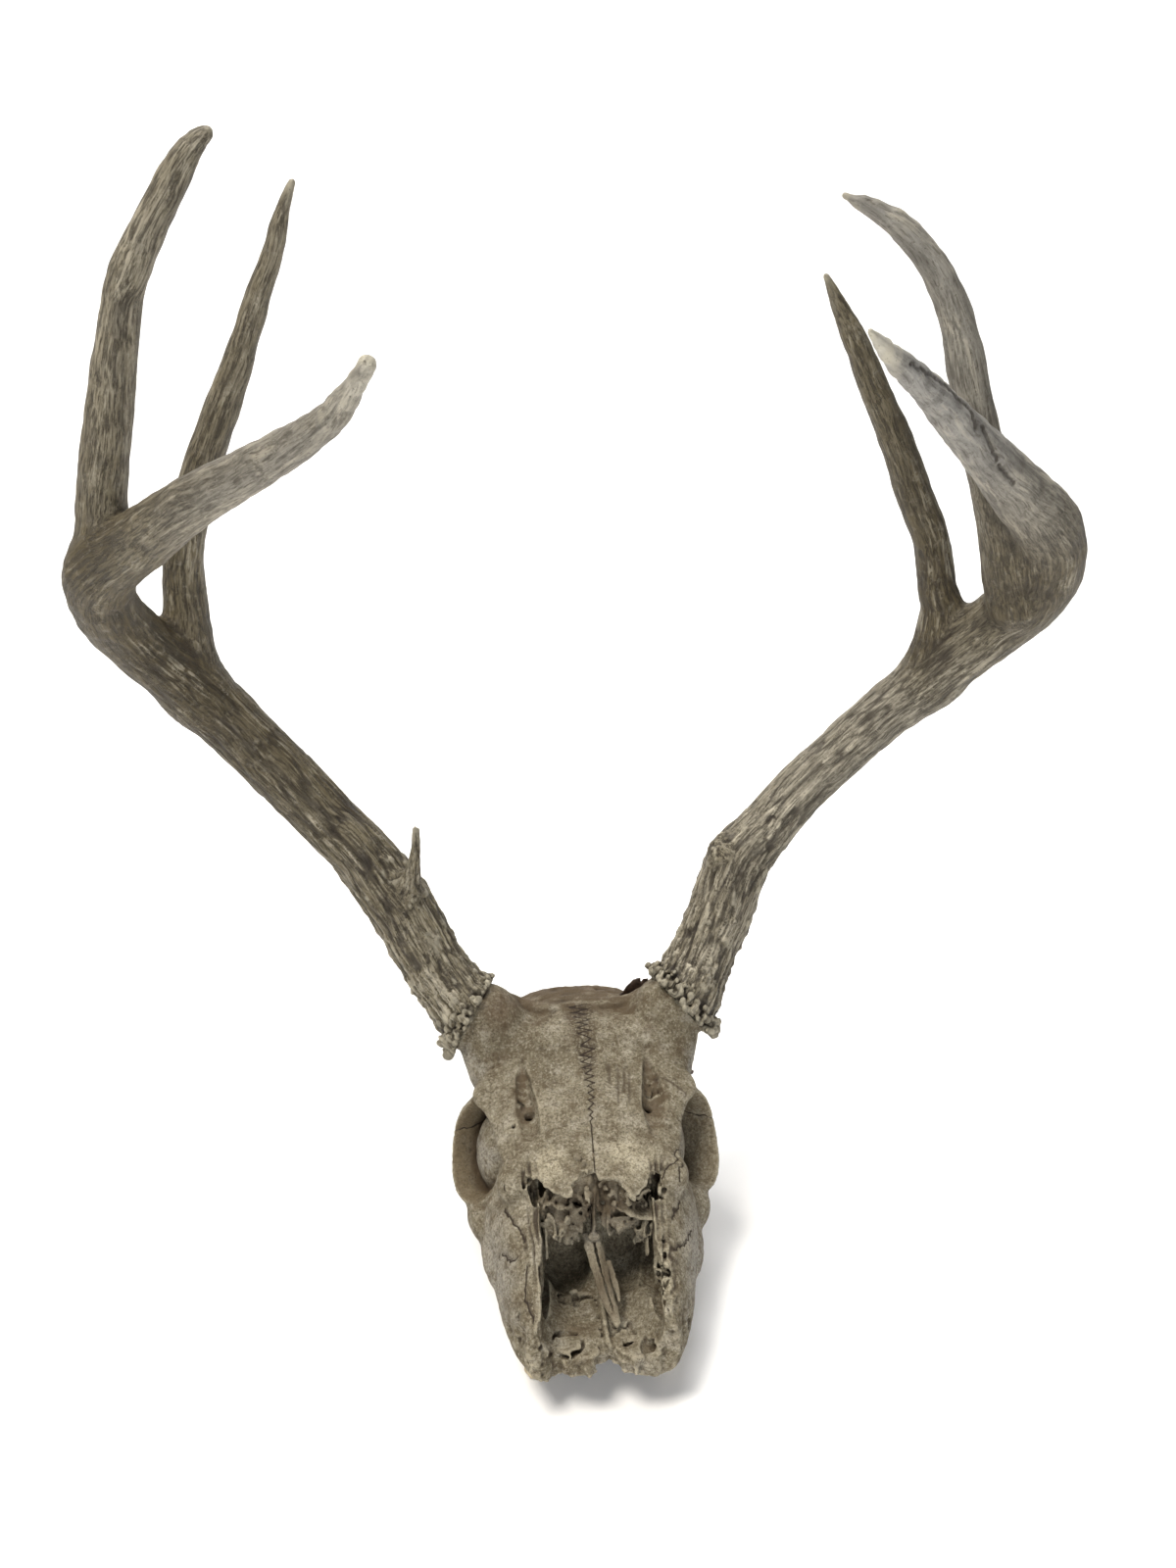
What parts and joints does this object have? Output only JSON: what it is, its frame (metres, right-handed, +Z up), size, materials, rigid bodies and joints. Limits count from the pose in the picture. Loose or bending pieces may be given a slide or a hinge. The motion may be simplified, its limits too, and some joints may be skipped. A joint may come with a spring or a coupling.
{
  "type": "deer skull with antlers",
  "caption": "Weathered skull of a male deer with branching antlers and an open broken nose, without its lower jaw; a display piece that rests on its cheek teeth.",
  "frame": {"origin": "centre of the bounding box's base, in the plane that the cheek teeth rest on", "axes": "+Z up from the flat crowns of the cheek teeth, -Y towards the nose, +X towards the deer's left side"},
  "size_m": [0.4122, 0.2216, 0.4779],
  "materials": {
    "bone": "matte, weathered, porous",
    "antler": "matte, grained along its length",
    "tooth": "satin, worn",
    "hide": "dry, dull"
  },
  "bodies": {
    "root": {"skull": "bone", "right_antler_lower_beam": "antler", "right_antler_middle_beam": "antler", "right_antler_beam_end": "antler", "right_antler_brow_tine": "antler", "right_antler_second_tine": "antler", "right_antler_third_tine": "antler", "left_antler_lower_beam": "antler", "left_antler_middle_beam": "antler", "left_antler_beam_end": "antler", "left_antler_second_tine": "antler", "left_antler_third_tine": "antler", "right_second_premolar": "tooth", "right_third_premolar": "tooth", "right_fourth_premolar": "tooth", "right_first_molar": "tooth", "right_second_molar": "tooth", "right_third_molar": "tooth", "left_second_premolar": "tooth", "left_third_premolar": "tooth", "left_fourth_premolar": "tooth", "left_first_molar": "tooth", "left_second_molar": "tooth", "left_third_molar": "tooth", "dried_hide_scrap": "hide"}
  },
  "joints": []
}
